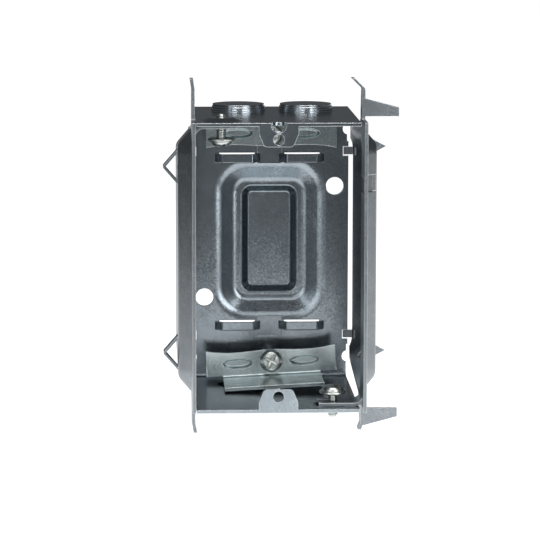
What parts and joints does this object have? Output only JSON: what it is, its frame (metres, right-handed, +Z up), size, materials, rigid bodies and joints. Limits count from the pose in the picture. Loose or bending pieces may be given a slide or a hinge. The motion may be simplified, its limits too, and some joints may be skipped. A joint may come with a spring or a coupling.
{
  "type": "metal device box",
  "caption": "Galvanised sheet-steel device box, open at the front, with hooked side plates, stud tabs, cable pryouts and inner cable clamps on screws.",
  "frame": {"origin": "midway between the two device-screw holes, on the front plane of the box", "axes": "+Y into the box from its open front, +Z up along the line of the device screws, +X to the right seen from the front, towards the stud side"},
  "size_m": [0.0763, 0.0685, 0.116],
  "materials": {
    "body_steel": "zinc-coated, fine mottled spangle",
    "plate_steel": "zinc-coated, fine mottled spangle",
    "clamp_steel": "bright zinc plate",
    "screw_steel": "bright zinc plate"
  },
  "bodies": {
    "box": {"box_body": "body_steel", "left_side_plate": "plate_steel", "right_side_plate": "plate_steel"},
    "upper_clamp": {"upper_cable_clamp": "clamp_steel"},
    "upper_screw": {"upper_clamp_screw": "screw_steel"},
    "lower_clamp": {"lower_cable_clamp": "clamp_steel"},
    "lower_screw": {"lower_clamp_screw": "screw_steel"},
    "left_fixing": {"left_side_screw": "screw_steel"},
    "right_fixing": {"right_side_screw": "screw_steel"}
  },
  "joints": [
    {"name": "upper_clamp_slide", "type": "slide", "parent": "box", "child": "upper_clamp", "axis": [0, 1, 0], "range_m": [-0.00198, 0.00793]},
    {"name": "upper_screw_turn", "type": "hinge", "parent": "upper_clamp", "child": "upper_screw", "pos_m": [0, 0.05, 0.03845], "axis": [0, 1, 0], "range_deg": [-900, 3600]},
    {"name": "lower_clamp_slide", "type": "slide", "parent": "box", "child": "lower_clamp", "axis": [0, 1, 0], "range_m": [-0.00198, 0.00793]},
    {"name": "lower_screw_turn", "type": "hinge", "parent": "lower_clamp", "child": "lower_screw", "pos_m": [0, 0.05, -0.03845], "axis": [0, 1, 0], "range_deg": [-900, 3600]},
    {"name": "left_screw_turn", "type": "hinge", "parent": "box", "child": "left_fixing", "pos_m": [-0.01815, 0.0097, 0.0459], "axis": [0, 0, 1], "range_deg": [-720, 1080]},
    {"name": "right_screw_turn", "type": "hinge", "parent": "box", "child": "right_fixing", "pos_m": [0.01815, 0.0097, -0.0459], "axis": [0, 0, -1], "range_deg": [-1440, 270]}
  ],
  "couplings": [
    {"joint": "upper_screw_turn", "follows": "upper_clamp_slide", "rad_per_m": 7915.8},
    {"joint": "lower_screw_turn", "follows": "lower_clamp_slide", "rad_per_m": 7915.8}
  ]
}
